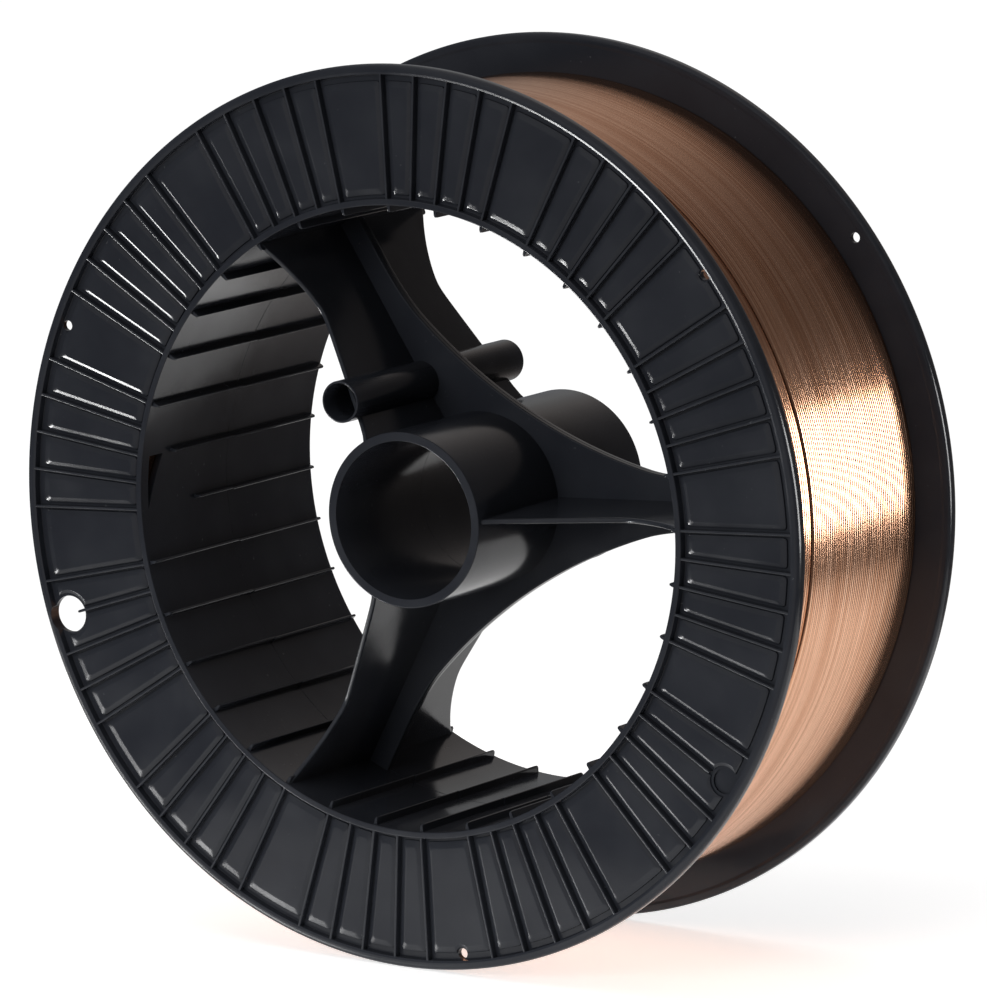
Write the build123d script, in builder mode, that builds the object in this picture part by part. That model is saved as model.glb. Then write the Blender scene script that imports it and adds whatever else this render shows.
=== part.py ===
"""Wire spool of 300 mm diameter for 15 kg of welding wire, standing on its two rims.

Two moulded plastic halves meet at the middle of the barrel. Each has a ribbed flange, half of the
barrel with small fins inside, and half of the hub, which three spokes carry. The wire lies level
between the flanges. Y is the spool's axis, with the front flange towards -Y, and Z is up.
"""

from build123d import *
import os
from math import cos, radians, sin

# Overall sizes of the 300 mm spool, with its bore and drive pin hole
flange_radius = 150.0
flange_height = 44.0
half_width = 51.5
bore_radius = 26.0
hub_wall = 3.2
pin_hole_radius = 5.5
pin_tube_wall = 1.5
pin_circle_radius = 44.5

# Turn of the whole spool about its axis, as the first spoke's angle above +X
spoke_angle = 3.8
spoke_count = 3
pin_spoke = 1

# Barrel, and the depth of wire on it
barrel_wall = 2.2
winding_depth = 31.0
winding_fit = 0.15

# Last layer of wire: its height, and how far from the front flange it stops
layer_height = 1.0
last_layer_gap = 28.5

# Flange: web, rim and the ribs and raised panels on its outer face
flange_thickness = 4.5
web_floor_depth = 2.6
rim_width = 3.4
rim_thickness = 4.1
rim_chamfer = 1.3
rib_pitch = 5.0
rib_count = 72
ribs_per_group = 6
missing_rib = 1
rib_thickness = 0.95
rib_top_depth = 0.15
panel_depth = 1.6
panel_inner_gap = 1.3
panel_outer_gap = 2.3
panel_side_gap = 1.05

# Holes in the flange: wire holes, the large hole and the blind recess, by rib number
wire_hole_radius = 1.75
wire_hole_rib = 7
wire_hole_inset = 1.9
large_hole_radius = 6.2
large_hole_inset = 4.8
large_hole_rib = 39
recess_rib = 65
recess_radius = 4.2
recess_inset = 4.4
recess_depth = 3.4
hole_collar = 1.2

# Fins along the inside of the barrel
fin_pitch = 10.0
fin_count = 36
fin_height = 2.5
fin_thickness = 1.3
fin_end_gap = 1.0
short_fins = {17: 35.0, 18: 20.0}

# Opening beside the front flange where the wire starts
window_angle = 179.0
window_length = 18.0
window_width = 7.7

# Spokes: a plate at mid width with concave sides, and a rib plate along the axis. The rib plate's
# edge is given by how far it stands inside the barrel and back from the hub's end.
plate_thickness = 2.0
plate_arc_radius = 190.0
plate_hub_margin = 5.5
plate_arm_width = 17.2
spoke_thickness = 2.6
spoke_hub_gap = 3.0
waist_inside_barrel = 28.8
waist_set_back = 16.5
flare_inside_barrel = 15.3
flare_set_back = 11.7

hub_radius = bore_radius + hub_wall
plate_waist_radius = hub_radius + plate_hub_margin
barrel_radius = flange_radius - flange_height
barrel_bore = barrel_radius - barrel_wall
winding_radius = barrel_radius + winding_depth
flange_inner = half_width - flange_thickness
web_floor = half_width - web_floor_depth
rim_inner = flange_radius - rim_width
overlap = 0.3


def numbered_angles(numbers, pitch):
    """Angles about the axis, in degrees above +X, of places numbered from the first spoke."""
    return [spoke_angle + pitch * number for number in numbers]


def spoke_plane(angle):
    """Plane through the axis and one spoke: x runs outwards and y runs along the axis."""
    outward = (cos(radians(angle)), 0, sin(radians(angle)))
    sideways = (-sin(radians(angle)), 0, cos(radians(angle)))
    return Plane(origin=(0, 0, 0), x_dir=outward, z_dir=sideways)


def face_plane(distance):
    """Plane square to the axis, at a distance from mid width towards the front."""
    return Plane.XZ.offset(distance)


def barrel_tangent_plane(angle, distance):
    """Plane facing outwards at a distance from the axis: x runs along the axis, y round it."""
    outward = (cos(radians(angle)), 0, sin(radians(angle)))
    origin = (distance * outward[0], 0, distance * outward[2])
    return Plane(origin=origin, x_dir=(0, 1, 0), z_dir=outward)


def fin_row(numbers):
    """Adds the sections of the numbered fins to the sketch in hand."""
    middle = barrel_bore + (overlap - fin_height) / 2
    for angle in numbered_angles(numbers, fin_pitch):
        with PolarLocations(middle, 1, start_angle=angle):
            Rectangle(fin_height + overlap, fin_thickness)


rib_numbers = [n for n in range(rib_count) if n % ribs_per_group != missing_rib]
rib_angles = numbered_angles(rib_numbers, rib_pitch)
spoke_pitch = 360 / spoke_count
spoke_angles = numbered_angles(range(spoke_count), spoke_pitch)
bay_angle = spoke_angle + spoke_pitch / 2
wire_hole_angles = [a + wire_hole_rib * rib_pitch for a in spoke_angles]
recess_angle = numbered_angles([recess_rib], rib_pitch)[0]
large_hole_angle = numbered_angles([large_hole_rib], rib_pitch)[0]
wire_hole_circle = rim_inner - wire_hole_inset
large_hole_circle = rim_inner - large_hole_inset
recess_circle = rim_inner - recess_inset
panel_inner = barrel_radius + panel_inner_gap
panel_outer = rim_inner - panel_outer_gap
rib_length = rim_inner - barrel_radius + 2 * overlap
rib_middle = (rim_inner + barrel_radius) / 2

# What both halves have in common, made as the front half
with BuildPart() as moulding:
    # Flange web, rim with bevelled edges, and barrel, turned about the axis
    with BuildSketch(Plane.XY) as flange_section:
        with BuildLine():
            Polyline(
                (barrel_bore, 0),
                (barrel_radius, 0),
                (barrel_radius, -flange_inner),
                (rim_inner, -flange_inner),
                (rim_inner, -half_width + rim_thickness),
                (flange_radius, -half_width + rim_thickness),
                (flange_radius, -half_width),
                (rim_inner, -half_width),
                (rim_inner, -web_floor),
                (barrel_radius, -web_floor),
                (barrel_radius, -half_width),
                (barrel_bore, -half_width),
                close=True,
            )
        make_face()
        rim_corners = flange_section.vertices().group_by(Axis.X)[-1]
        chamfer(rim_corners, length=rim_chamfer)
    revolve(axis=Axis.Y)

    # Raised panels between the ribs, their ends straight from rib to rib
    with BuildSketch(face_plane(web_floor)):
        RegularPolygon(panel_outer, rib_count, rotation=spoke_angle)
        RegularPolygon(panel_inner, rib_count, rotation=spoke_angle, mode=Mode.SUBTRACT)
        for angle in rib_angles:
            with PolarLocations(rib_middle, 1, start_angle=angle):
                Rectangle(rib_length, rib_thickness + 2 * panel_side_gap, mode=Mode.SUBTRACT)
        with PolarLocations(large_hole_circle, 1, start_angle=large_hole_angle):
            Circle(large_hole_radius + 2 * hole_collar, mode=Mode.SUBTRACT)
        with PolarLocations(recess_circle, 1, start_angle=recess_angle):
            Circle(recess_radius + hole_collar, mode=Mode.SUBTRACT)
    extrude(amount=web_floor_depth - panel_depth)

    # Radial ribs
    with BuildSketch(face_plane(web_floor)):
        for angle in rib_angles:
            with PolarLocations(rib_middle, 1, start_angle=angle):
                Rectangle(rib_length, rib_thickness)
    extrude(amount=web_floor_depth - rib_top_depth)

    # Three small wire holes beside the rim
    with BuildSketch(face_plane(half_width)):
        for angle in wire_hole_angles:
            with PolarLocations(wire_hole_circle, 1, start_angle=angle):
                Circle(wire_hole_radius)
    extrude(amount=-flange_thickness, mode=Mode.SUBTRACT)

    # Plate of the spokes, with concave sides between its arms
    with BuildSketch(Plane.XZ):
        Circle(barrel_bore + overlap)
        with PolarLocations(plate_waist_radius + plate_arc_radius, spoke_count, start_angle=bay_angle):
            Circle(plate_arc_radius, mode=Mode.SUBTRACT)
        for angle in spoke_angles:
            with PolarLocations(barrel_bore / 2, 1, start_angle=angle):
                Rectangle(barrel_bore, plate_arm_width)
    extrude(amount=plate_thickness)

    # Rib plate of each spoke, waisted towards the barrel and flared to its mouth
    for angle in spoke_angles:
        with BuildSketch(spoke_plane(angle)) as spoke_side:
            with BuildLine():
                slope_start = (hub_radius - overlap, -half_width + spoke_hub_gap)
                waist = (barrel_bore - waist_inside_barrel, -half_width + waist_set_back)
                flare = (barrel_bore - flare_inside_barrel, -half_width + flare_set_back)
                mouth = (barrel_bore + overlap, -half_width + fin_end_gap)
                Polyline((mouth[0], 0), (slope_start[0], 0), slope_start, waist)
                ThreePointArc(waist, flare, mouth)
                Line(mouth, (mouth[0], 0))
            make_face()
        extrude(amount=spoke_thickness / 2, both=True)

    # Fins along the inside of the barrel
    with BuildSketch(Plane.XZ):
        fin_row(number for number in range(fin_count) if number not in short_fins)
    extrude(amount=half_width - fin_end_gap)

    # Hub tube and drive pin tube, each with its bore
    with BuildSketch(Plane.XZ):
        Circle(hub_radius)
        with PolarLocations(pin_circle_radius, 1, start_angle=spoke_angles[pin_spoke]):
            Circle(pin_hole_radius + pin_tube_wall)
    extrude(amount=half_width)
    with BuildSketch(Plane.XZ):
        Circle(bore_radius)
        with PolarLocations(pin_circle_radius, 1, start_angle=spoke_angles[pin_spoke]):
            Circle(pin_hole_radius)
    extrude(amount=half_width, mode=Mode.SUBTRACT)

# Front half: the large hole and the recess, two shorter fins, and the opening where the wire starts
with BuildPart() as spool_half_front:
    add(moulding.part)
    with BuildSketch(face_plane(half_width)):
        with PolarLocations(large_hole_circle, 1, start_angle=large_hole_angle):
            Circle(large_hole_radius)
    extrude(amount=-flange_thickness, mode=Mode.SUBTRACT)
    with BuildSketch(face_plane(half_width)):
        with PolarLocations(recess_circle, 1, start_angle=recess_angle):
            Circle(recess_radius)
    extrude(amount=-recess_depth, mode=Mode.SUBTRACT)
    for number, length in short_fins.items():
        with BuildSketch(Plane.XZ):
            fin_row([number])
        extrude(amount=length)
    with BuildSketch(barrel_tangent_plane(window_angle, barrel_bore - overlap)):
        with BuildLine():
            Polyline(
                (-flange_inner + overlap, -window_length / 2),
                (-flange_inner + window_width, -window_length / 2),
                (-flange_inner + overlap, window_length / 2),
                close=True,
            )
        make_face()
    extrude(amount=barrel_wall + 2 * overlap, mode=Mode.SUBTRACT)
spool_half_front.part.label = "spool_half_front"

# Rear half: the same moulding facing the other way, with every fin at full length
with BuildPart() as spool_half_rear:
    mirror(moulding.part, about=Plane.XZ)
    with BuildSketch(Plane.XZ):
        fin_row(short_fins)
    extrude(amount=-half_width + fin_end_gap)
spool_half_rear.part.label = "spool_half_rear"

# The wire, wound level from flange to flange, with its last layer stopping partway across
with BuildPart() as wire_winding:
    with BuildSketch(face_plane(flange_inner)):
        Circle(winding_radius - layer_height)
        Circle(barrel_radius + winding_fit, mode=Mode.SUBTRACT)
    extrude(amount=-2 * flange_inner)
    with BuildSketch(face_plane(flange_inner - last_layer_gap)):
        Circle(winding_radius)
        Circle(barrel_radius + winding_fit, mode=Mode.SUBTRACT)
    extrude(amount=last_layer_gap - 2 * flange_inner)
wire_winding.part.label = "wire_winding"

os.makedirs("parts", exist_ok=True)
for piece in (spool_half_front, spool_half_rear, wire_winding):
    export_step(piece.part, f"parts/{piece.part.label}.step")
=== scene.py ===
"""A 300 mm wire spool of two black plastic mouldings, wound level with copper-coated wire.

Lengths in the classes are millimetres and become metres in the meshes. Y is the spool's axis, the
front flange faces -Y and Z is up. Every shape is a row of closed loops of points, worked out as
whole arrays: R is a distance from the axis, and an angle about the axis counts from +X towards +Z.
"""

import logging
from dataclasses import dataclass, field
from enum import Enum

import bpy
import numpy as np
from mathutils import Matrix, Vector


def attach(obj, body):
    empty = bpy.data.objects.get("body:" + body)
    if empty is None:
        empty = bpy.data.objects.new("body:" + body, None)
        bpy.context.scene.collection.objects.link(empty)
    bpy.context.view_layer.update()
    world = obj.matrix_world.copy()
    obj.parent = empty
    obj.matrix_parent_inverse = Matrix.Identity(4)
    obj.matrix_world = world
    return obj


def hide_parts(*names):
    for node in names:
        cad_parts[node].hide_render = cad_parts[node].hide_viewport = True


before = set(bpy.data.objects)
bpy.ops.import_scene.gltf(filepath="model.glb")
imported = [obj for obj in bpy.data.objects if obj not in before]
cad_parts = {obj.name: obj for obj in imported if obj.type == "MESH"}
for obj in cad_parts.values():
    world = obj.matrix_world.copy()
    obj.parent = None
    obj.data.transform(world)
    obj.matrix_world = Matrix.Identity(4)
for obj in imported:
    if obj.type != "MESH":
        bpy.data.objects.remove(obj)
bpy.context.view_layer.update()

LOG = logging.getLogger("wire_spool")
MM = 0.001
BODY = "root"
SHARP_EDGE = 32.0
Pair = tuple[float, float]
Colour = tuple[float, float, float, float]
Vector3 = tuple[float, float, float]
Socket = bpy.types.NodeSocket


class Side(Enum):
    """Which half of the spool, as the sign of Y on its outer face."""

    FRONT = -1
    REAR = 1


class Ends(Enum):
    """How the first and last loop of a row of loops are finished."""

    CAPPED = "capped"
    JOINED = "joined"


# Points and meshes


def polar(radius: np.ndarray, angle: np.ndarray, width: np.ndarray) -> np.ndarray:
    """Points at a distance from the axis, an angle in radians and a distance from mid width.

    Args:
        radius: distances from the axis.
        angle: angles about the axis, in radians.
        width: distances from mid width.

    Returns:
        Array of (x, width, z) with one more dimension than the arguments, which broadcast.
    """
    radius, angle, width = np.broadcast_arrays(radius, angle, width)
    return np.stack([radius * np.cos(angle), width, radius * np.sin(angle)], axis=-1)


def ring_points(radius: float, angle: np.ndarray) -> np.ndarray:
    """Points (x, z) at a distance from the middle and at angles in radians."""
    return np.stack([radius * np.cos(angle), radius * np.sin(angle)], axis=-1)


def along_spoke(out: np.ndarray, across: np.ndarray, width: np.ndarray, angle: float) -> np.ndarray:
    """Points measured out along a radius at an angle, across it, and from mid width.

    Args:
        out: distances along the radius.
        across: distances square to it, towards larger angles.
        width: distances from mid width.
        angle: the radius's angle in radians.

    Returns:
        Array of (x, width, z).
    """
    out, across, width = np.broadcast_arrays(out, across, width)
    x = out * np.cos(angle) - across * np.sin(angle)
    z = out * np.sin(angle) + across * np.cos(angle)
    return np.stack([x, width, z], axis=-1)


def bezier(start: np.ndarray, corner: np.ndarray, end: np.ndarray, steps: int) -> np.ndarray:
    """Rounds corners: start (1-t)^2 + corner 2t(1-t) + end t^2, for t from 0 to 1.

    Args:
        start: points where each rounding starts, shape (..., 2).
        corner: the sharp corners.
        end: points where each rounding ends.
        steps: points per corner.

    Returns:
        Array of shape (..., steps, 2).
    """
    t = np.linspace(0.0, 1.0, steps)[:, None]
    start, corner, end = start[..., None, :], corner[..., None, :], end[..., None, :]
    return start * (1 - t) ** 2 + 2 * corner * t * (1 - t) + end * t**2


def rounded_loop(corners: list[Vector3], steps: int = 6) -> np.ndarray:
    """A closed polygon with each corner cut back by its own length and rounded.

    Args:
        corners: (a, b, cut) for each corner in order.
        steps: points per corner.

    Returns:
        Array of shape (len(corners) * steps, 2).
    """
    data = np.array(corners, float)
    point, cut = data[:, :2], data[:, 2:]
    before, after = np.roll(point, 1, axis=0) - point, np.roll(point, -1, axis=0) - point
    before /= np.linalg.norm(before, axis=1, keepdims=True)
    after /= np.linalg.norm(after, axis=1, keepdims=True)
    return bezier(point + before * cut, point, point + after * cut, steps).reshape(-1, 2)


def along_line(points: np.ndarray, count: int) -> np.ndarray:
    """Points evenly spaced along a line of points.

    Args:
        points: the line, of shape (n, 2).
        count: how many points are wanted.

    Returns:
        Array of shape (count, 2), its ends on the line's ends.
    """
    length = np.concatenate([[0], np.cumsum(np.linalg.norm(np.diff(points, axis=0), axis=1))])
    spot = np.linspace(0, length[-1], count)
    return np.stack([np.interp(spot, length, points[:, 0]), np.interp(spot, length, points[:, 1])], axis=-1)


def inset(loops: np.ndarray, distance: np.ndarray) -> np.ndarray:
    """Moves closed loops of points inwards, each point along the bisector of its two edges.

    Args:
        loops: points of shape (k, n, 2).
        distance: insets of shape (m,).

    Returns:
        Array of shape (k, m, n, 2).
    """
    after = np.roll(loops, -1, axis=1)
    edge = after - loops
    edge = edge / np.maximum(np.linalg.norm(edge, axis=2, keepdims=True), 1e-9)
    turn = np.stack([-edge[..., 1], edge[..., 0]], axis=-1)
    area = np.sum(loops[..., 0] * after[..., 1] - loops[..., 1] * after[..., 0], axis=1)
    turn = turn * np.sign(area)[:, None, None]
    both = turn + np.roll(turn, 1, axis=1)
    share = np.sum(turn * np.roll(turn, 1, axis=1), axis=2, keepdims=True)
    move = both / np.maximum(1 + share, 0.35)
    return loops[:, None] + move[:, None] * distance[None, :, None, None]


class Shells:
    """Closed shells gathered into one mesh, with how worn each point is."""

    def __init__(self) -> None:
        """Starts empty."""
        self.points: list[np.ndarray] = []
        self.wear: list[np.ndarray] = []
        self.faces: list[list[int]] = []
        self.count = 0

    def add(self, loops: np.ndarray, ends: Ends = Ends.CAPPED, wear: np.ndarray | float = 0.0) -> None:
        """Adds shells whose faces join each loop to the next, turned so that they face outwards.

        The volume that a shell encloses is the sum over its triangles of a . (b x c) / 6, and a
        shell where it comes out negative has its faces reversed.

        Args:
            loops: points of shape (m, n, 3), or (k, m, n, 3) for k shells alike.
            ends: whether the first and last loop are capped or joined to each other.
            wear: wear of each point from 0 to 1, which broadcasts to the points.
        """
        loops = loops[None] if loops.ndim == 3 else loops
        k, m, n, _ = loops.shape
        rows = m if ends is Ends.JOINED else m - 1
        i, j = np.meshgrid(np.arange(rows), np.arange(n), indexing="ij")
        onward, side = (i + 1) % m, (j + 1) % n
        quads = np.stack([i * n + j, onward * n + j, onward * n + side, i * n + side], axis=-1).reshape(-1, 4)
        flat = loops.reshape(k, m * n, 3)
        caps = [] if ends is Ends.JOINED else [np.arange(n), (m - 1) * n + np.arange(n)[::-1]]
        triangles = [quads[:, [0, 1, 2]], quads[:, [0, 2, 3]]]
        triangles += [np.stack([np.full(n - 2, c[0]), c[1:-1], c[2:]], axis=-1) for c in caps]
        fan = np.concatenate(triangles)
        a, b, c = flat[:, fan[:, 0]], flat[:, fan[:, 1]], flat[:, fan[:, 2]]
        volume = np.einsum("kti,kti->k", a, np.cross(b, c))
        start = self.count
        for copy in range(k):
            step = 1 if volume[copy] > 0 else -1
            self.faces += (quads[:, ::step] + start).tolist()
            self.faces += [(cap[::step] + start).tolist() for cap in caps]
            start += m * n
        self.count = start
        self.points.append(flat.reshape(-1, 3))
        self.wear.append(np.broadcast_to(wear, (k, m, n)).reshape(-1))

    def mesh(self, name: str, side: Side | None = None, sharp: float = SHARP_EDGE) -> bpy.types.Mesh:
        """Makes the mesh in metres, smooth but for edges sharper than an angle.

        Args:
            name: name of the mesh.
            side: the half that it belongs to, where the points' second number counts outwards
                from mid width. The front half's faces are reversed, because -Y mirrors it.
            sharp: angle in degrees.

        Returns:
            The new mesh, with its wear attribute.
        """
        points = np.concatenate(self.points) * MM
        faces = self.faces
        if side is Side.FRONT:
            points = points * np.array([1.0, -1.0, 1.0])
            faces = [face[::-1] for face in faces]
        made = bpy.data.meshes.new(name)
        made.from_pydata(points.tolist(), [], faces)
        made.attributes.new("wear", "FLOAT", "POINT")
        made.attributes["wear"].data.foreach_set("value", np.concatenate(self.wear).astype(np.float32))
        made.shade_smooth()
        made.set_sharp_from_angle(angle=np.radians(sharp))
        return made


def place(name: str, mesh: bpy.types.Mesh, finish: bpy.types.Material) -> bpy.types.Object:
    """Puts a mesh into the scene as an object at the origin, with its material.

    Args:
        name: name of the object.
        mesh: its mesh.
        finish: its material.

    Returns:
        The new object.
    """
    piece = bpy.data.objects.new(name, mesh)
    bpy.context.scene.collection.objects.link(piece)
    mesh.materials.clear()
    mesh.materials.append(finish)
    return piece


def keep_flats_flat(piece: bpy.types.Object) -> None:
    """Lets the large faces set the shading of the points that they share with small ones."""
    weighted = piece.modifiers.new("flat faces", "WEIGHTED_NORMAL")
    weighted.keep_sharp = True


def cut(mesh: bpy.types.Mesh, cutter: bpy.types.Mesh) -> bpy.types.Mesh:
    """Takes the cutter's volume out of a mesh.

    Args:
        mesh: a closed mesh.
        cutter: a closed mesh.

    Returns:
        A new mesh.
    """
    body, tool = (bpy.data.objects.new(part.name, part) for part in (mesh, cutter))
    for item in (body, tool):
        bpy.context.scene.collection.objects.link(item)
    boolean = body.modifiers.new("cut", "BOOLEAN")
    boolean.operation, boolean.solver, boolean.object = "DIFFERENCE", "EXACT", tool
    bpy.context.view_layer.update()
    result = bpy.data.meshes.new_from_object(body.evaluated_get(bpy.context.evaluated_depsgraph_get()))
    for item in (body, tool):
        bpy.data.objects.remove(item)
    result.shade_smooth()
    result.set_sharp_from_angle(angle=np.radians(SHARP_EDGE))
    return result


# The plastic halves


@dataclass
class Moulding:
    """Sizes that every feature of one half shares."""

    side: Side
    finish: bpy.types.Material
    half_width: float = 51.5
    flange_radius: float = 150.0
    barrel_radius: float = 106.0
    barrel_bore: float = 103.8
    flange_inner: float = 47.0
    web_floor: float = 48.9
    rim_inner: float = 146.6
    spoke_angle: float = 3.8
    rib_pitch: float = 5.0
    rib_count: int = 72
    ribs_per_group: int = 6
    missing_rib: int = 1
    large_hole_rib: int = 39
    recess_rib: int = 65
    hole_circle: float = 141.8
    hole_radius: float = 6.2
    recess_circle: float = 142.2
    recess_radius: float = 4.2
    wire_hole_rib: int = 7
    wire_hole_circle: float = 144.7
    wire_hole_radius: float = 1.75

    @property
    def name(self) -> str:
        """The half's name, as the pieces use it."""
        return self.side.name.lower()

    @property
    def node(self) -> str:
        """The solid that the half's pieces stand for."""
        return f"spool_half_{self.name}"

    def angles(self, numbers: np.ndarray, pitch: float) -> np.ndarray:
        """Angles in radians of places numbered from the first spoke at a pitch in degrees."""
        return np.radians(self.spoke_angle + pitch * np.asarray(numbers, float))

    def spokes(self) -> np.ndarray:
        """Angles of the three spokes, in radians."""
        return self.angles(np.arange(3), 120.0)

    def wire_holes(self) -> np.ndarray:
        """Angles of the three wire holes, in radians."""
        return self.angles(np.arange(3) * 24 + self.wire_hole_rib, self.rib_pitch)

    def deep_holes(self) -> list[Vector3]:
        """Circle, angle and radius of the front flange's large hole and of its blind recess."""
        if self.side is Side.REAR:
            return []
        hole, recess = self.angles([self.large_hole_rib, self.recess_rib], self.rib_pitch)
        return [(self.hole_circle, hole, self.hole_radius), (self.recess_circle, recess, self.recess_radius)]

    def finish_piece(self, label: str, mesh: bpy.types.Mesh) -> bpy.types.Object:
        """Dresses a mesh, fixes it to the spool's body and lets it stand for the half's solid.

        Args:
            label: what the piece is.
            mesh: its mesh.

        Returns:
            The finished piece.
        """
        piece = place(f"{self.name}_{label}", mesh, self.finish)
        keep_flats_flat(piece)
        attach(piece, BODY)
        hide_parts(self.node)
        LOG.info("%s: %d faces", piece.name, len(mesh.polygons))
        return piece


@dataclass
class FlangeAndBarrel:
    """Web, rim and barrel of one half, turned about the axis, with its holes cut."""

    half: Moulding
    turns: int = 360
    rim_back: float = 46.86
    lip_start: float = 146.75
    lip_width: float = 0.75
    lip_drop: float = 0.17
    stand_back: float = 0.02
    back_step: float = 0.95
    front_round: float = 1.9
    back_round: float = 1.4
    draft: float = 0.1
    worn_band: float = 0.6
    band_wear: float = 0.7
    hole_sides: int = 48
    cut_from: float = 45.0
    cut_to: float = 53.0
    recess_floor: float = 48.1
    window_angle: float = 179.0
    window_length: float = 18.0
    window_width: float = 7.7
    window_overlap: float = 0.2
    window_inside: float = 1.5
    window_outside: float = 1.0

    def section(self) -> np.ndarray:
        """The turned section as (R, distance from mid width), its corners rounded."""
        h = self.half
        return rounded_loop([
            (h.barrel_bore, 0.0, 0.25),
            (h.barrel_bore, h.half_width, 0.35),
            (h.barrel_radius - self.draft, h.half_width, 0.4),
            (h.barrel_radius + 1.5 * self.draft, h.web_floor, 0.25),
            (h.rim_inner - self.draft, h.web_floor, 0.3),
            (self.lip_start, h.half_width - self.lip_drop, 0.1),
            (self.lip_start + self.lip_width, h.half_width - self.stand_back, 0.12),
            (h.flange_radius, h.half_width, self.front_round),
            (h.flange_radius, self.rim_back, self.back_round),
            (h.rim_inner + self.back_step, self.rim_back, 0.15),
            (h.rim_inner, h.flange_inner + self.stand_back, 0.1),
            (h.barrel_radius, h.flange_inner, 0.1),
            (h.barrel_radius, 0.0, 0.1),
        ])

    def cylinder(self, radius: float, angle: float, hole: float, low: float, high: float) -> np.ndarray:
        """Loops of a round cutter that stands square to the flange.

        Args:
            radius: distance of its centre from the axis.
            angle: angle of its centre, in radians.
            hole: its own radius.
            low: where it starts, from mid width.
            high: where it ends.

        Returns:
            Array of shape (2, hole_sides, 3).
        """
        turn = np.linspace(0, 2 * np.pi, self.hole_sides, endpoint=False)
        width = np.array([low, high])[:, None]
        return along_spoke(radius + hole * np.cos(turn), hole * np.sin(turn), width, angle)

    def window(self) -> np.ndarray:
        """Loops of the wedge that opens the barrel beside the flange, where the wire starts."""
        h, half = self.half, self.window_length / 2
        low, high = h.flange_inner - self.window_width, h.flange_inner + self.window_overlap
        flat = np.array([[-half, low], [-half, high], [half, high]])
        out = np.array([h.barrel_bore - self.window_inside, h.barrel_radius + self.window_outside])[:, None]
        return along_spoke(out, flat[:, 0], flat[:, 1], np.radians(self.window_angle))

    def build(self) -> bpy.types.Object:
        """Turns the section, cuts the holes and returns the finished piece."""
        h = self.half
        loop, turn = self.section(), np.linspace(0, 2 * np.pi, self.turns, endpoint=False)
        body = Shells()
        edge = np.zeros(len(loop))
        edge[loop[:, 0] > h.flange_radius - self.worn_band] = self.band_wear
        body.add(polar(loop[:, 0], turn[:, None], loop[:, 1]), Ends.JOINED, edge)
        cutter = Shells()
        for angle in h.wire_holes():
            hole = self.cylinder(h.wire_hole_circle, angle, h.wire_hole_radius, self.cut_from, self.cut_to)
            cutter.add(hole)
        for (circle, angle, radius), floor in zip(h.deep_holes(), (self.cut_from, self.recess_floor)):
            cutter.add(self.cylinder(circle, angle, radius, floor, self.cut_to))
        if h.side is Side.FRONT:
            cutter.add(self.window())
        mesh = cut(body.mesh("body", h.side), cutter.mesh("cutter", h.side))
        return h.finish_piece("flange_and_barrel", mesh)


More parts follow.
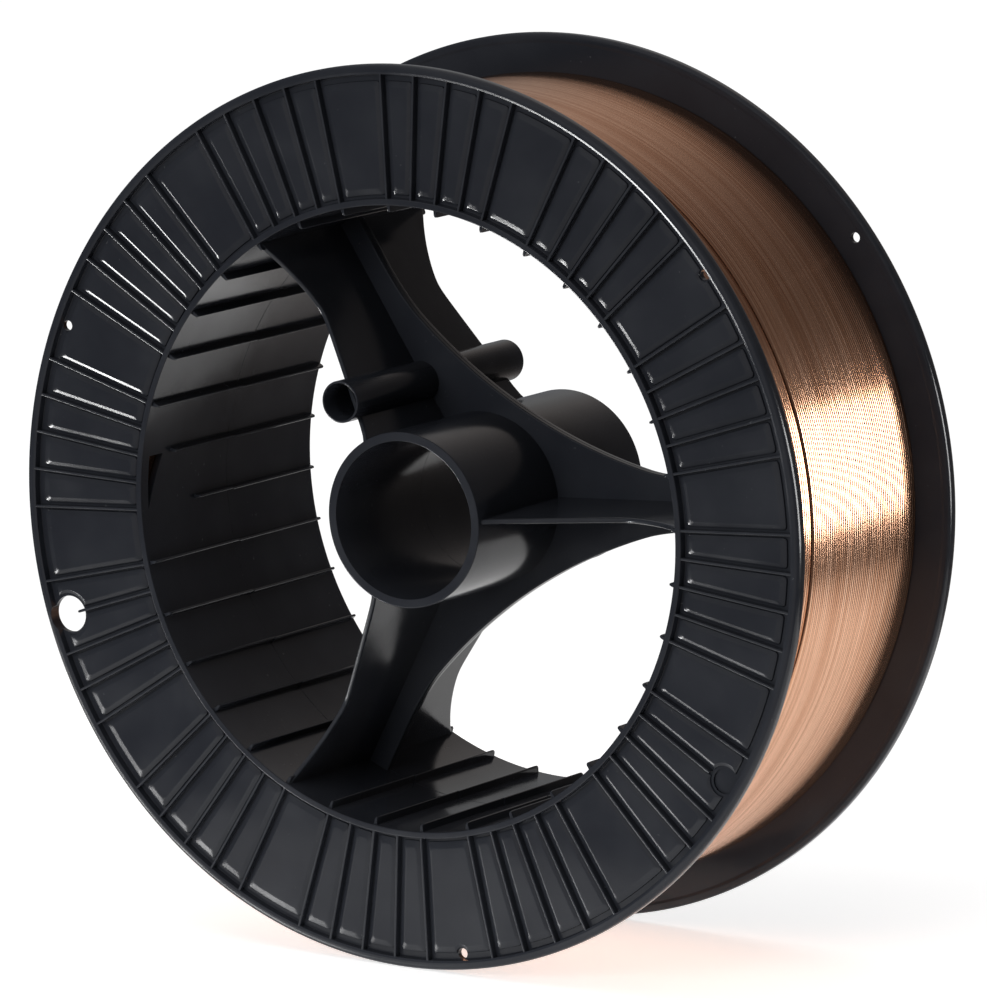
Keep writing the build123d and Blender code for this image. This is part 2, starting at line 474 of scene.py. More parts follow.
@dataclass
class PanelsAndRibs:
    """The raised panels and radial ribs on the outer face of a flange.

    A step of a panel's edge is (how far the outline is drawn in, distance from mid width, wear),
    and a rib's section is (place across it, distance from mid width).
    """

    half: Moulding
    panel_inner: float = 107.0
    panel_outer: float = 144.5
    side_gap: float = 1.15
    corner: float = 1.5
    arc_points: int = 9
    corner_points: int = 6
    deep_hole_clearance: float = 0.9
    wire_hole_clearance: float = 0.3
    bite_growth: float = 0.5
    outline_points: int = 200
    bite_points: int = 40
    search_points: int = 2000
    short_rib: float = 136.8
    rib_overlap: float = 0.4
    rib_end: float = 0.3
    rib_end_width: float = 0.7
    rib_worn_above: float = 51.0
    rib_wear: float = 0.9
    side_share: float = 0.78
    panel_rise: tuple[Vector3, ...] = (
        (0.0, 48.7, 0.0), (0.0, 48.86, 0.0), (0.06, 49.2, 0.0), (0.14, 49.45, 0.2), (0.26, 49.54, 0.3),
        (1.0, 49.675, 0.3), (1.95, 49.85, 0.3), (2.15, 49.88, 0.2), (2.4, 49.895, 0.1), (2.7, 49.9, 0.0),
    )
    rib_section: tuple[Pair, ...] = (
        (-0.54, 48.7), (-0.46, 50.95), (-0.38, 51.22), (-0.22, 51.33), (0.0, 51.36),
        (0.22, 51.33), (0.38, 51.22), (0.46, 50.95), (0.54, 48.7),
    )

    def outlines(self, middle: np.ndarray, spread: np.ndarray, drawn_in: float = 0.0) -> np.ndarray:
        """Outlines of panels between two ribs, in the plane of the flange.

        The ends are arcs about the axis and the sides run parallel to the ribs, at a fixed
        distance s from the rib's line: an end at radius R reaches the angle spread - asin(s / R).

        Args:
            middle: angles of the panels' middles, in radians.
            spread: angles from there to the ribs' lines.
            drawn_in: how far the ends are drawn in; the sides move by a share of it.

        Returns:
            Array of shape (k, n, 2) as (x, z).
        """
        ends = {}
        gap = self.side_gap + drawn_in * self.side_share
        for label, radius in (("in", self.panel_inner + drawn_in), ("out", self.panel_outer - drawn_in)):
            reach = spread - np.arcsin(gap / radius)
            share = np.linspace(-1, 1, self.arc_points)
            ends[label] = (radius, reach, (reach - self.corner / radius)[:, None] * share)
        radius, reach, arc = ends["in"]
        inner, low = ring_points(radius, arc), ring_points(radius, reach)
        radius, reach, arc = ends["out"]
        outer, high = ring_points(radius, arc)[:, ::-1], ring_points(radius, reach)
        along = (high - low) / np.linalg.norm(high - low, axis=1, keepdims=True)
        mirror = np.array([1.0, -1.0])
        first = bezier(inner[:, -1], low, low + along * self.corner, self.corner_points)[:, 1:]
        second = bezier(high - along * self.corner, high, outer[:, 0], self.corner_points)[:, :-1]
        back = [second[:, ::-1] * mirror, first[:, ::-1] * mirror]
        flat = np.concatenate([inner, first, second, outer, *back], axis=1)
        cos, sin = np.cos(middle)[:, None], np.sin(middle)[:, None]
        x, z = flat[..., 0], flat[..., 1]
        return np.stack([x * cos - z * sin, x * sin + z * cos], axis=-1)

    def bitten(self, outline: np.ndarray, centre: np.ndarray, radius: float) -> np.ndarray:
        """Takes a round bite out of an outline, and follows the bite's circle instead.

        Args:
            outline: points of shape (n, 2).
            centre: the bite's centre.
            radius: the bite's radius.

        Returns:
            Points evenly along what is left of the outline, then points along the bite.
        """
        dense = along_line(np.vstack([outline, outline[:1]]), self.search_points)[:-1]
        inside = np.linalg.norm(dense - centre, axis=1) < radius
        first = np.nonzero(inside & ~np.roll(inside, 1))[0][0]
        dense, inside = np.roll(dense, -first, axis=0), np.roll(inside, -first)
        kept = along_line(dense[~inside], self.outline_points)
        begin, finish = kept[-1] - centre, kept[0] - centre
        start, stop = np.arctan2(begin[1], begin[0]), np.arctan2(finish[1], finish[0])
        sweep = (stop - start + np.pi) % (2 * np.pi) - np.pi
        turn = start + sweep * np.linspace(0, 1, self.bite_points + 2)[1:-1]
        return np.vstack([kept, centre + ring_points(radius, turn)])

    def raise_panels(self, shells: Shells, rings: np.ndarray) -> None:
        """Adds panels whose outline is drawn in and lifted ring by ring, along a bevelled edge.

        Args:
            shells: where they go.
            rings: outlines of shape (k, m, n, 2), one for each step of the edge.
        """
        rise = np.array(self.panel_rise)
        width = np.broadcast_to(rise[:, 1, None], rings.shape[:-1])
        shells.add(np.stack([rings[..., 0], width, rings[..., 1]], axis=-1), Ends.CAPPED, rise[:, 2, None])

    def build(self) -> bpy.types.Object:
        """Makes the panels and ribs of one flange and returns the finished piece."""
        h, shells = self.half, Shells()
        numbers = np.arange(h.rib_count)
        numbers = numbers[numbers % h.ribs_per_group != h.missing_rib]
        step = np.diff(np.append(numbers, numbers[0] + h.rib_count))
        middle = h.angles(numbers + step / 2, h.rib_pitch)
        spread = np.radians(step * h.rib_pitch / 2)
        rings = np.stack([self.outlines(middle, spread, rise[0]) for rise in self.panel_rise], axis=1)
        outlines = rings[:, 0]
        bites = [(circle, angle, hole + self.deep_hole_clearance) for circle, angle, hole in h.deep_holes()]
        wire_bite = h.wire_hole_radius + self.wire_hole_clearance
        bites += [(h.wire_hole_circle, angle, wire_bite) for angle in h.wire_holes()]
        plain = np.ones(len(outlines), bool)
        for radius, angle, size in bites:
            centre = ring_points(radius, angle)
            near = np.nonzero(np.linalg.norm(outlines - centre, axis=2).min(axis=1) < size)[0]
            for panel in near:
                plain[panel] = False
                sizes = size + self.bite_growth * np.array(self.panel_rise)[:, 0]
                edge = [self.bitten(ring, centre, float(bite)) for ring, bite in zip(rings[panel], sizes)]
                self.raise_panels(shells, np.array(edge)[None])
        self.raise_panels(shells, rings[plain])
        section = np.array(self.rib_section)
        top = np.where(section[:, 1] > self.rib_worn_above, self.rib_wear, 0.0)
        for number in numbers:
            cut_short = number in (h.large_hole_rib, h.recess_rib) and h.side is Side.FRONT
            stop = self.short_rib if cut_short else h.rim_inner + self.rib_overlap
            out = np.array([h.barrel_radius - self.rib_overlap, stop - self.rib_end, stop])[:, None]
            shrink = np.array([1.0, 1.0, self.rib_end_width])[:, None]
            angle = float(h.angles(number, h.rib_pitch))
            shells.add(along_spoke(out, section[:, 0] * shrink, section[:, 1], angle), Ends.CAPPED, top)
        return h.finish_piece("panels_and_ribs", shells.mesh("panels", h.side))


@dataclass
class BarrelFins:
    """The long fins along the inside of one half of the barrel.

    The crest is (fall from the tip, half width), and its wear starts at the foot. A run at a
    fin's start or end is (distance from there, fall of the tip).
    """

    half: Moulding
    count: int = 36
    pitch: float = 10.0
    tip: float = 101.35
    mouth: float = 50.4
    drift: float = 0.12
    root_overlap: float = 0.5
    short: dict[int, float] = field(default_factory=lambda: {17: 35.0, 18: 20.0})
    crest: tuple[Pair, ...] = ((0.5, 0.47), (0.15, 0.38), (0.0, 0.15))
    foot_half: float = 0.8
    crest_wear: tuple[float, ...] = (0.0, 0.3, 0.8, 1.0)
    end_run: tuple[Pair, ...] = ((1.6, 0.0), (0.5, 0.12), (0.12, 0.5), (0.0, 1.1))
    start_run: tuple[Pair, ...] = ((0.0, 0.25), (0.25, 0.0))

    def build(self) -> bpy.types.Object:
        """Makes the fins: a rounded wedge section carried from mid width to the barrel's mouth.

        The section narrows from the wall to the tip, and over the last millimetres the tip falls
        towards the wall. The fins of the two halves stand a little to either side.
        """
        h, shells = self.half, Shells()
        root = h.barrel_bore + self.root_overlap
        flank = [(root, self.foot_half)] + [(self.tip + fall, half) for fall, half in self.crest]
        shape = np.array([(out, -half) for out, half in flank] + flank[::-1])
        wear = np.array(self.crest_wear + self.crest_wear[::-1])
        lower = np.array([fall for _, fall in self.start_run + self.end_run])[:, None]
        shift = self.drift if h.side is Side.REAR else -self.drift
        starts = [start for start, _ in self.start_run]
        for number in range(self.count):
            stop = self.short.get(number, self.mouth) if h.side is Side.FRONT else self.mouth
            width = np.array(starts + [stop - back for back, _ in self.end_run])[:, None]
            out = np.minimum(shape[:, 0] + lower, root)
            angle = float(h.angles(number, self.pitch))
            shells.add(along_spoke(out, shape[:, 1] + shift, width, angle), Ends.CAPPED, wear)
        return h.finish_piece("barrel_fins", shells.mesh("fins", h.side))


@dataclass
class HubAndSpokes:
    """The hub tube, the drive pin's tube, and the three spokes with the plate behind them.

    A step of the plate's edge is (inset, distance from mid width, wear), and half of a spoke
    rib's section is (place across it, depth below its edge, wear).
    """

    half: Moulding
    bore: float = 26.0
    hub: float = 29.2
    pin_mouth: float = 6.3
    pin_circle: float = 44.5
    pin_bore: float = 5.5
    pin_tube: float = 7.0
    plate: float = 2.0
    plate_hole: float = 27.5
    waist: float = 34.7
    arc: float = 190.0
    arm_half: float = 8.6
    arm_join: float = 88.0
    bay_half: float = 50.0
    wall_overlap: float = 0.4
    plate_edge: tuple[Vector3, ...] = (
        (0.22, 0.0, 0.0), (0.0, 0.2, 0.0), (0.0, 1.55, 0.4), (0.1, 1.8, 1.0), (0.3, 1.95, 0.8),
        (0.5, 2.0, 0.0),
    )
    rib_section: tuple[Vector3, ...] = (
        (1.35, 0.0, 0.0), (0.85, 0.9, 0.4), (0.78, 0.4, 0.8), (0.6, 0.12, 1.0), (0.3, 0.0, 1.0),
    )
    rib_foot: float = 0.05
    slope_start: float = 48.5
    slope: float = 0.295
    slope_end: float = 70.0
    flare_start: float = 72.0
    flare_centre: Pair = (75.0, 35.0)
    flare_bend: Pair = (0.2023, 0.01135)
    flare_blend: float = 0.5
    mouth_depth: float = 6.0
    bore_flare: float = 0.25

    def plate_outline(self) -> np.ndarray:
        """Outline of the plate as (x, z): concave arcs that run into straight arms.

        In a bay the arc is p = waist + arc - sqrt(arc^2 - q^2), with p along the bay's middle
        and q across it. Each arm's side is a line beside the spoke, and a curve joins the two.
        """
        h, parts = self.half, []
        q = np.linspace(-self.bay_half, self.bay_half, 41)
        p = self.waist + self.arc - np.sqrt(self.arc**2 - q**2)
        turn = np.radians(60.0)
        for spoke in h.spokes():
            reach = np.sqrt(self.arc**2 - ((self.waist + self.arc) * np.sin(turn) - self.arm_half) ** 2)
            kink = np.array([(self.waist + self.arc) * np.cos(turn) - reach, self.arm_half])
            far = np.array([h.barrel_bore + self.wall_overlap, self.arm_half])
            start = along_spoke(p[0], -self.bay_half, 0.0, turn)[[0, 2]]
            join = bezier(np.array([self.arm_join, self.arm_half]), kink, start, 12)
            near = np.vstack([far, join[:-1]])
            bay = along_spoke(p, q, 0.0, spoke + turn)[:, [0, 2]]
            after = spoke + 2 * turn
            parts += [along_spoke(near[:, 0], near[:, 1], 0.0, spoke)[:, [0, 2]], bay,
                      along_spoke(near[::-1, 0], -near[::-1, 1], 0.0, after)[:, [0, 2]]]
        return np.concatenate(parts)

    def rib_edge(self, out: np.ndarray) -> np.ndarray:
        """How far a spoke's rib stands from mid width, at distances along the spoke.

        It slopes down from the hub along a line, and rises to the barrel's mouth along a
        parabola. The edge is the larger of the two, with the corner between them rounded.
        """
        line = self.slope_start - (out - self.hub) * self.slope
        past = out - self.flare_centre[0]
        flare = self.flare_centre[1] + self.flare_bend[0] * past + self.flare_bend[1] * past**2
        larger = (line + flare) / 2 + np.sqrt(((line - flare) / 2) ** 2 + self.flare_blend)
        return larger - self.flare_blend / 2

    def tube(self, inner: float, mouth: float, outer: float, circle: float, angle: float,
             turns: int) -> np.ndarray:
        """Loops of a round tube from mid width to the hub's face, its edges rounded.

        Args:
            inner: radius of its bore.
            mouth: radius of its bore at the face, to which it widens over the last few millimetres.
            outer: radius of its outside.
            circle: distance of its axis from the spool's axis.
            angle: angle of its axis, in radians.
            turns: sections round it.

        Returns:
            Array of shape (turns, n, 3).
        """
        end = self.half.half_width
        loop = rounded_loop([(inner, 0.0, 0.12), (inner, end - self.mouth_depth, 1.0), (mouth, end, 0.2),
                             (outer, end, 0.45), (outer, 0.0, 0.12)])
        turn = np.linspace(0, 2 * np.pi, turns, endpoint=False)[:, None]
        out, across = loop[:, 0] * np.cos(turn), loop[:, 0] * np.sin(turn)
        return along_spoke(circle + out, across, np.broadcast_to(loop[:, 1], out.shape), angle)

    def build(self) -> bpy.types.Object:
        """Makes the plate, ribs and tubes and returns the finished piece."""
        h, shells = self.half, Shells()
        rise = np.array(self.plate_edge)
        flat = inset(self.plate_outline()[None], rise[:, 0])[0]
        width = np.broadcast_to(rise[:, 1, None], flat.shape[:-1])
        loops = np.stack([flat[..., 0], width, flat[..., 1]], axis=-1)
        self.plate_with_hole(shells, loops, rise[:, 2, None])
        inner = np.linspace(self.hub - 2 * self.wall_overlap, self.slope_end, 14)
        outer = np.linspace(self.flare_start, h.barrel_bore + self.wall_overlap, 20)
        out = np.concatenate([inner, outer])
        flank = np.array(self.rib_section)
        across, below, wear = np.vstack([flank * (-1, 1, 1), flank[::-1]]).T
        height = self.rib_edge(out)[:, None] - below
        height[:, [0, -1]] = self.rib_foot
        for spoke in h.spokes():
            shells.add(along_spoke(out[:, None], across, height, spoke), Ends.CAPPED, wear)
        shells.add(self.tube(self.bore, self.bore + self.bore_flare, self.hub, 0.0, 0.0, 160), Ends.JOINED)
        spoke = float(h.spokes()[1])
        pin = self.tube(self.pin_bore, self.pin_mouth, self.pin_tube, self.pin_circle, spoke, 64)
        shells.add(pin, Ends.JOINED)
        return h.finish_piece("hub_and_spokes", shells.mesh("spokes", h.side))

    def plate_with_hole(self, shells: Shells, loops: np.ndarray, wear: np.ndarray) -> None:
        """Adds the plate as a ring about the hub, so that the hub's bore stays open.

        Args:
            shells: where it goes.
            loops: the outer edge's loops, from mid width to the plate's face.
            wear: their wear.
        """
        angle = np.arctan2(loops[0, :, 2], loops[0, :, 0])
        low, high = polar(self.plate_hole, angle, 0.0), polar(self.plate_hole, angle, self.plate)
        shells.add(np.concatenate([low[None], loops, high[None]]), Ends.JOINED,
                   np.concatenate([[[0.0]], wear, [[0.0]]]))


# The wire


@dataclass
class Winding:
    """Level turns of wire, whose last layer stops partway across.

    The arch is how far points across one turn lie below its top.
    """

    finish: bpy.types.Material
    radius: float = 137.0
    inner: float = 106.15
    half_width: float = 47.0
    turns: int = 78
    last_turn_at: float = -18.5
    layer: float = 1.0
    arch: tuple[float, ...] = (0.21, 0.05, 0.0, 0.05)
    top_gap: float = 0.06
    last_turn_rise: float = 0.05
    waves: tuple[int, ...] = (3, 5, 8, 13, 21)
    wave_height: float = 0.012
    unevenness: float = 0.007
    end_gap: float = 0.02
    around: int = 300
    seed: int = 7

    def surface(self) -> tuple[np.ndarray, np.ndarray]:
        """Distance from the axis of every point, and its place along the axis.

        Each turn is an arch: a few points across it lie below the wire's top. To this are added
        waves round each turn, of their own size and phase: size sin(n angle + phase). In front of
        the last turn the surface lies one layer lower, and the last turn itself stands proud.

        Returns:
            Radii of shape (around, points), and places along the axis of shape (points,).
        """
        random = np.random.default_rng(self.seed)
        pitch = 2 * self.half_width / self.turns
        steps = len(self.arch)
        part = np.tile(np.array(self.arch), self.turns)
        along = -self.half_width + pitch * np.arange(steps * self.turns) / steps
        turn = np.arange(self.turns)
        centre = -self.half_width + pitch * (turn + 0.5)
        angle = np.linspace(0, 2 * np.pi, self.around, endpoint=False)[:, None]
        wave = np.zeros((self.around, self.turns))
        for waves in self.waves:
            size = random.uniform(0.2, 1.0, self.turns) * self.wave_height / np.sqrt(waves)
            phase = random.uniform(0, 2 * np.pi, self.turns)
            wave += size * np.sin(waves * angle + phase)
        wave += random.normal(0.0, self.unevenness, self.turns)
        last = int(np.argmin(np.abs(centre - self.last_turn_at)))
        drop = np.where(turn < last, self.layer, 0.0)
        drop[last] = -self.last_turn_rise
        low = self.radius - self.top_gap - part - np.repeat(drop, steps)
        return low + np.repeat(wave, steps, axis=1), along

    def build(self) -> bpy.types.Object:
        """Makes the winding as one ring and returns the finished piece."""
        radius, along = self.surface()
        angle = np.linspace(0, 2 * np.pi, self.around, endpoint=False)[:, None]
        end = self.half_width - self.end_gap
        rim = np.full((self.around, 1), self.inner)
        radii = np.hstack([rim, radius, radius[:, :1], rim])
        width = np.concatenate([[-end], np.clip(along, -end, end), [end], [end]])
        shells = Shells()
        shells.add(polar(radii, angle, width), Ends.JOINED)
        mesh = shells.mesh("turns", None, sharp=75.0)
        piece = place("wound_wire", mesh, self.finish)
        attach(piece, BODY)
        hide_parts("wire_winding")
        LOG.info("%s: %d faces", piece.name, len(mesh.polygons))
        return piece


# Finishes


class NodeSheet:
    """A material whose nodes are laid out and joined by short calls."""

    def __init__(self, name: str) -> None:
        """Makes an empty node material with its output and its surface shader."""
        self.material = bpy.data.materials.new(name)
        self.material.use_nodes = True
        self.tree = self.material.node_tree
        self.tree.nodes.clear()
        self.output = self.tree.nodes.new("ShaderNodeOutputMaterial")
        self.shader = self.tree.nodes.new("ShaderNodeBsdfPrincipled")
        self.tree.links.new(self.shader.outputs[0], self.output.inputs["Surface"])
        self.place = self.tree.nodes.new("ShaderNodeTexCoord").outputs["Object"]

    def node(self, kind: str, **settings: object) -> bpy.types.Node:
        """Adds a node and sets its own properties."""
        made = self.tree.nodes.new(kind)
        for key, value in settings.items():
            setattr(made, key, value)
        return made

    def feed(self, socket: Socket, value: object) -> None:
        """Links an output to a socket, or sets the socket's value."""
        if isinstance(value, Socket):
            self.tree.links.new(value, socket)
        else:
            socket.default_value = value

    def noise(self, scale: float, detail: float, stretch: Vector3 = (1, 1, 1)) -> Socket:
        """Fractal noise in the object's own space.

        Args:
            scale: waves per metre.
            detail: octaves of finer noise.
            stretch: how much more closely it varies along each axis.

        Returns:
            The noise's value, about 0.5 in the mean.
        """
        mapping = self.node("ShaderNodeMapping")
        self.feed(mapping.inputs["Vector"], self.place)
        self.feed(mapping.inputs["Scale"], stretch)
        made = self.node("ShaderNodeTexNoise")
        self.feed(made.inputs["Vector"], mapping.outputs[0])
        self.feed(made.inputs["Scale"], scale)
        self.feed(made.inputs["Detail"], detail)
        return made.outputs["Fac"]

    def spread(self, value: Socket, low: float, high: float, to_low: float = 0.0,
               to_high: float = 1.0) -> Socket:
        """Maps a value from one range to another, clamped at its ends."""
        made = self.node("ShaderNodeMapRange")
        for key, number in zip(("From Min", "From Max", "To Min", "To Max"), (low, high, to_low, to_high)):
            self.feed(made.inputs[key], number)
        self.feed(made.inputs["Value"], value)
        return made.outputs[0]

    def math(self, operation: str, first: object, second: object = 0.0) -> Socket:
        """One arithmetic step on two values."""
        made = self.node("ShaderNodeMath", operation=operation)
        self.feed(made.inputs[0], first)
        self.feed(made.inputs[1], second)
        return made.outputs[0]

    def blend(self, share: object, first: object, second: object) -> Socket:
        """Mixes two colours by a share from 0 to 1."""
        made = self.node("ShaderNodeMix", data_type="RGBA")
        self.feed(made.inputs[0], share)
        self.feed(made.inputs[6], first)
        self.feed(made.inputs[7], second)
        return made.outputs[2]

    def bump(self, height: Socket, distance: float, under: Socket | None = None) -> Socket:
        """Tilts the surface as a height would, in metres, on top of an earlier bump."""
        made = self.node("ShaderNodeBump")
        self.feed(made.inputs["Height"], height)
        self.feed(made.inputs["Distance"], distance)
        if under is not None:
            self.feed(made.inputs["Normal"], under)
        return made.outputs[0]


@dataclass(frozen=True)
class BlackPlastic:
    """Satin black moulded plastic, a little paler where its edges are rubbed.

    Scales are waves per metre, and heights are metres.
    """

    name: str = "satin_black_plastic"
    dark: Colour = (0.0170, 0.0190, 0.0245, 1.0)
    pale: Colour = (0.0225, 0.0250, 0.0310, 1.0)
    rubbed: Colour = (0.028, 0.031, 0.037, 1.0)
    speck: Colour = (0.11, 0.115, 0.12, 1.0)
    smooth: float = 0.12
    rough: float = 0.2
    refraction: float = 1.5
    mirror_level: float = 0.25
    cloud_scale: float = 45.0
    rub_scale: float = 160.0
    speck_scale: float = 620.0
    scuff_scale: float = 95.0
    wave_scale: float = 28.0
    wave_height: float = 0.00015
    grain_scale: float = 2600.0
    grain_height: float = 0.00001

    def material(self) -> bpy.types.Material:
        """Makes the material: mottled gloss, fine grain, faint specks and rubbed edges."""
        sheet = NodeSheet(self.name)
        inputs = sheet.shader.inputs
        clouds = sheet.noise(self.cloud_scale, 5.0)
        worn = sheet.node("ShaderNodeAttribute", attribute_name="wear").outputs["Fac"]
        patches = sheet.spread(sheet.noise(self.rub_scale, 3.0), 0.35, 0.65, 0.15, 0.9)
        patchy = sheet.math("MULTIPLY", worn, patches)
        base = sheet.blend(sheet.spread(clouds, 0.3, 0.7), self.dark, self.pale)
        rubbed = sheet.blend(patchy, base, self.rubbed)
        specks = sheet.spread(sheet.noise(self.speck_scale, 3.0), 0.69, 0.76, 0.0, 0.55)
        scuffs = sheet.spread(sheet.noise(self.scuff_scale, 2.0), 0.5, 0.62)
        speckled = sheet.blend(sheet.math("MULTIPLY", specks, scuffs), rubbed, self.speck)
        sheet.feed(inputs["Base Color"], speckled)
        sheet.feed(inputs["Roughness"], sheet.spread(clouds, 0.35, 0.65, self.smooth, self.rough))
        waves = sheet.bump(sheet.noise(self.wave_scale, 2.0), self.wave_height)
        grain = sheet.bump(sheet.noise(self.grain_scale, 2.0), self.grain_height, waves)
        sheet.feed(inputs["Normal"], grain)
        sheet.feed(inputs["IOR"], self.refraction)
        sheet.feed(inputs["Specular IOR Level"], self.mirror_level)
        return sheet.material


@dataclass(frozen=True)
class CopperWire:
    """Bright copper-coated wire, each turn a little lighter or darker than the next.

    The pitch of the turns is in metres, and the streaks' scale is in waves per metre.
    """

    name: str = "copper_coated_wire"
    dark: Colour = (0.54, 0.28, 0.165, 1.0)
    pale: Colour = (0.70, 0.42, 0.28, 1.0)
    smooth: float = 0.15
    rough: float = 0.22
    pitch: float = 94.0 / 78.0 * MM
    streak_scale: float = 22.0
    streak_narrowness: float = 38.0
    turn_share: float = 0.35

    def material(self) -> bpy.types.Material:
        """Makes the material: a tone for each turn, and streaks that run along the wire."""
        sheet = NodeSheet(self.name)
        inputs = sheet.shader.inputs
        split = sheet.node("ShaderNodeSeparateXYZ")
        sheet.feed(split.inputs[0], sheet.place)
        turn = sheet.math("FLOOR", sheet.math("DIVIDE", split.outputs["Y"], self.pitch))
        random = sheet.node("ShaderNodeTexWhiteNoise", noise_dimensions="1D")
        sheet.feed(random.inputs["W"], turn)
        streaks = sheet.noise(self.streak_scale, 5.0, (1.0, self.streak_narrowness, 1.0))
        by_turn = sheet.math("MULTIPLY", random.outputs["Value"], self.turn_share)
        tone = sheet.math("ADD", by_turn, sheet.math("MULTIPLY", streaks, 1.0 - self.turn_share))
        sheet.feed(inputs["Base Color"], sheet.blend(sheet.spread(tone, 0.3, 0.7), self.dark, self.pale))
        sheet.feed(inputs["Roughness"], sheet.spread(streaks, 0.3, 0.7, self.smooth, self.rough))
        sheet.feed(inputs["Metallic"], 1.0)
        return sheet.material


# Studio and camera


@dataclass(frozen=True)
class Softbox:
    """A rectangular soft light, with places and sizes in metres.

    The camera never sees it. Glossy surfaces show its face where mirrored is set, and matt
    surfaces are lit by it where scattered is set.
    """

    name: str
    at: Vector3
    aim: Vector3
    size: Pair
    radiance: float
    mirrored: bool = True
    scattered: bool = True

    def hang(self) -> None:
        """Hangs the light, its power worked out as radiance times area times pi."""
        data = bpy.data.lights.new(self.name, "AREA")
        data.shape, data.size, data.size_y = "RECTANGLE", self.size[0], self.size[1]
        data.energy = self.radiance * np.pi * self.size[0] * self.size[1]
        light = hang(self.name, data, Vector(self.aim) - Vector(self.at))
        light.location = self.at
        light.visible_glossy, light.visible_diffuse = self.mirrored, self.scattered


@dataclass(frozen=True)
class Glint:
    """A far round light that only glossy surfaces show, from a direction under the floor."""

    name: str
    towards: Vector3
    diameter: float
    radiance: float

    def hang(self) -> None:
        """Hangs the light: its strength is radiance times pi sin^2 of half its diameter."""
        data = bpy.data.lights.new(self.name, "SUN")
        data.angle = np.radians(self.diameter)
        data.energy = self.radiance * np.pi * np.sin(data.angle / 2) ** 2
        hang(self.name, data, -Vector(self.towards)).visible_diffuse = False


def hang(name: str, data: bpy.types.Light, ahead: Vector) -> bpy.types.Object:
    """Puts a light into the scene, unseen by the camera.

    Args:
        name: name of the object.
        data: the light.
        ahead: direction in which it shines.

    Returns:
        The new object.
    """
    light = bpy.data.objects.new(name, data)
    light.rotation_euler = ahead.to_track_quat("-Z", "Y").to_euler()
    light.visible_camera = False
    bpy.context.scene.collection.objects.link(light)
    return light


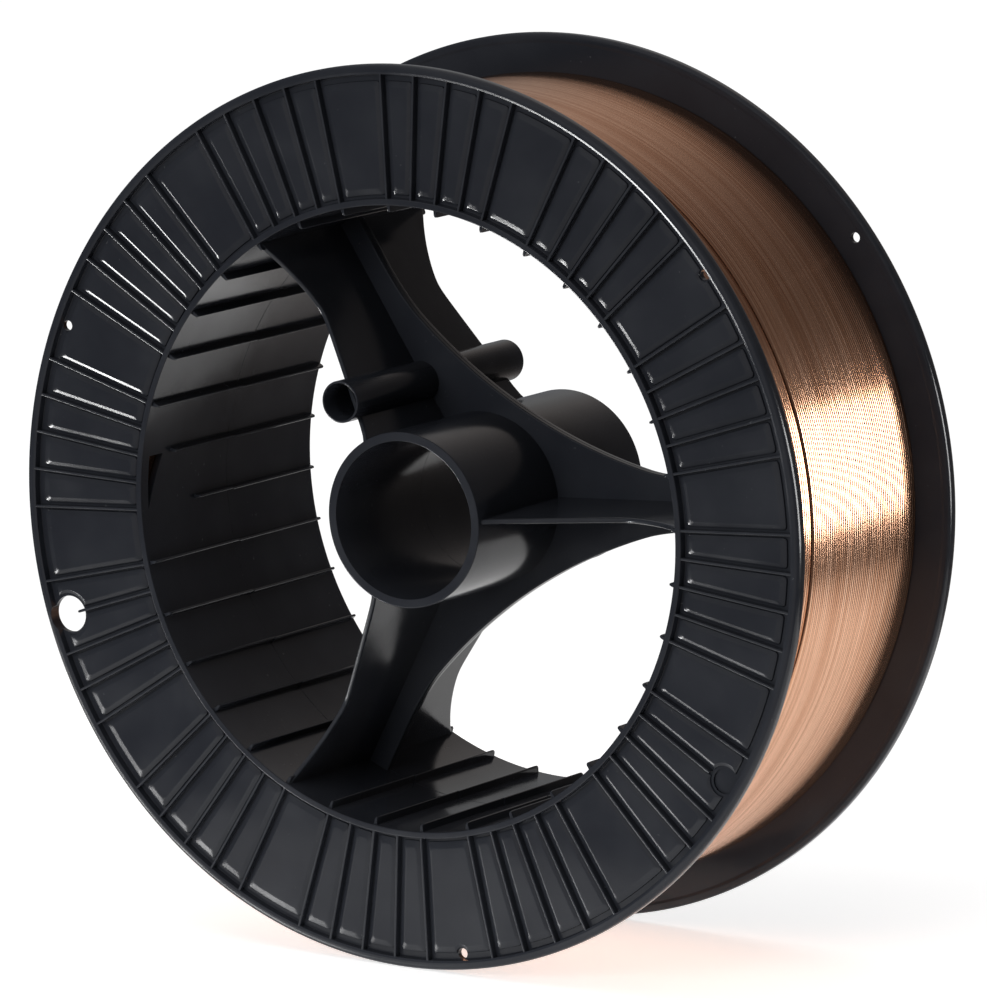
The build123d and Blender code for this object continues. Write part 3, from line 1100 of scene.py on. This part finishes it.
@dataclass
class Studio:
    """A pale floor, soft lights and the surroundings that the object reflects."""

    floor_level: float = -150.0
    floor_corners: tuple[Pair, Pair] = ((-450.0, -220.0), (520.0, 300.0))
    floor_colour: Colour = (0.88, 0.88, 0.88, 1.0)
    floor_glow: float = 0.62
    backdrop: float = 1.05
    tone_axis: Vector3 = (0.5, 0.0, 0.1)
    tones: tuple[Colour, ...] = (
        (0.0, 0.12, 0.125, 0.145), (0.2, 0.12, 0.125, 0.145), (0.3, 0.40, 0.40, 0.40),
        (0.42, 0.48, 0.44, 0.42), (0.52, 0.36, 0.325, 0.31), (0.65, 0.19, 0.172, 0.168),
        (0.78, 0.10, 0.09, 0.089), (1.0, 0.08, 0.076, 0.078),
    )
    lights: tuple[Softbox | Glint, ...] = (
        Softbox("right_box", (1.1, 0.3, 0.1), (0.0, 0.0, 0.1), (0.62, 0.48), 19.0, scattered=False),
        Softbox("front_fill", (-0.3, -2.4, 0.7), (0.0, 0.0, 0.0), (1.6, 1.2), 5.0, mirrored=False),
        Glint("left_glint", (-0.70, -0.57, -0.43), 12.0, 60.0),
        Softbox("floor_light", (-0.2, -0.2, 2.2), (-0.2, -0.2, 0.0), (2.8, 2.8), 1.0, mirrored=False),
    )

    def floor(self) -> None:
        """Lays the floor: a flat pale sheet that glows a little, just large enough for the picture."""
        x, y = np.meshgrid(*np.array(self.floor_corners).T, indexing="ij")
        points = np.stack([x.ravel(), y.ravel(), np.full(4, self.floor_level)], axis=-1) * MM
        mesh = bpy.data.meshes.new("floor")
        mesh.from_pydata(points.tolist(), [], [[0, 2, 3, 1]])
        sheet = NodeSheet("pale_floor")
        for socket, value in (
            ("Base Color", self.floor_colour), ("Roughness", 0.9), ("Emission Color", (1.0, 1.0, 1.0, 1.0)),
            ("Emission Strength", self.floor_glow), ("Specular IOR Level", 0.1),
        ):
            sheet.feed(sheet.shader.inputs[socket], value)
        floor = place("floor", mesh, sheet.material)
        floor.visible_shadow = False

    def surroundings(self) -> None:
        """Gives the world a white view for the camera, and greys that change across the room.

        The greys follow u = 0.5 + a . d for the direction d and the tones' axis a, from the left
        to the right, and each tone is given as (u, red, green, blue).
        """
        world = bpy.data.worlds.new("studio")
        world.use_nodes = True
        tree = world.node_tree
        tree.nodes.clear()
        output = tree.nodes.new("ShaderNodeOutputWorld")
        seen, felt = (tree.nodes.new("ShaderNodeBackground") for _ in range(2))
        seen.inputs[0].default_value = (1.0, 1.0, 1.0, 1.0)
        seen.inputs[1].default_value = self.backdrop
        place_at, across = tree.nodes.new("ShaderNodeTexCoord"), tree.nodes.new("ShaderNodeVectorMath")
        across.operation = "DOT_PRODUCT"
        across.inputs[1].default_value = self.tone_axis
        middle, ramp = tree.nodes.new("ShaderNodeMath"), tree.nodes.new("ShaderNodeValToRGB")
        middle.inputs[1].default_value = 0.5
        for spot, *_ in self.tones[1:-1]:
            ramp.color_ramp.elements.new(spot)
        for element, (spot, *tone) in zip(ramp.color_ramp.elements, self.tones):
            element.position, element.color = spot, (*tone, 1.0)
        mix, path = tree.nodes.new("ShaderNodeMixShader"), tree.nodes.new("ShaderNodeLightPath")
        for start, end in (
            (place_at.outputs["Generated"], across.inputs[0]), (across.outputs["Value"], middle.inputs[0]),
            (middle.outputs[0], ramp.inputs[0]), (ramp.outputs[0], felt.inputs[0]),
            (path.outputs["Is Camera Ray"], mix.inputs[0]), (felt.outputs[0], mix.inputs[1]),
            (seen.outputs[0], mix.inputs[2]), (mix.outputs[0], output.inputs["Surface"]),
        ):
            tree.links.new(start, end)
        bpy.context.scene.world = world

    def build(self) -> None:
        """Sets up the floor, the lights and the surroundings."""
        bpy.context.scene.view_settings.view_transform = "Standard"
        self.floor()
        self.surroundings()
        for light in self.lights:
            light.hang()


@dataclass
class Camera:
    """The photograph's camera, from a fit to the ribs and to the outlines of both flanges."""

    focal_pixels: float = 9293.64
    long_side: float = 1000.0
    azimuth: float = 32.0756
    elevation: float = 10.1477
    roll: float = 0.2390
    offset: Vector3 = (-2.538, -0.887, 3085.27)
    sensor: float = 36.0

    def build(self) -> None:
        """Places the camera, its offset given in its own axes: right, down and ahead."""
        turn, rise, roll = np.radians([self.azimuth, self.elevation, self.roll])
        right = np.array([np.cos(turn), np.sin(turn), 0.0])
        ahead = np.array([-np.sin(turn) * np.cos(rise), np.cos(turn) * np.cos(rise), -np.sin(rise)])
        down = np.cross(ahead, right)
        across = np.cos(roll) * right - np.sin(roll) * down
        below = np.sin(roll) * right + np.cos(roll) * down
        axes = np.stack([across, -below, -ahead], axis=1)
        spot = -(self.offset[0] * across + self.offset[1] * below + self.offset[2] * ahead) * MM
        data = bpy.data.cameras.new("camera")
        data.sensor_width = self.sensor
        data.lens = self.focal_pixels / self.long_side * data.sensor_width
        data.clip_start, data.clip_end = 0.1, 50.0
        camera = bpy.data.objects.new("camera", data)
        camera.matrix_world = Matrix.LocRotScale(Vector(spot), Matrix(axes).to_quaternion(), None)
        bpy.context.scene.collection.objects.link(camera)
        bpy.context.scene.camera = camera


def main() -> None:
    """Builds the camera, the pieces and the studio in order."""
    logging.basicConfig(level=logging.INFO, format="%(name)s: %(message)s")
    Camera().build()
    plastic = BlackPlastic().material()
    for side in Side:
        half = Moulding(side, plastic)
        for feature in (FlangeAndBarrel, PanelsAndRibs, BarrelFins, HubAndSpokes):
            feature(half).build()
    Winding(CopperWire().material()).build()
    Studio().build()


if __name__ == "__main__":
    main()
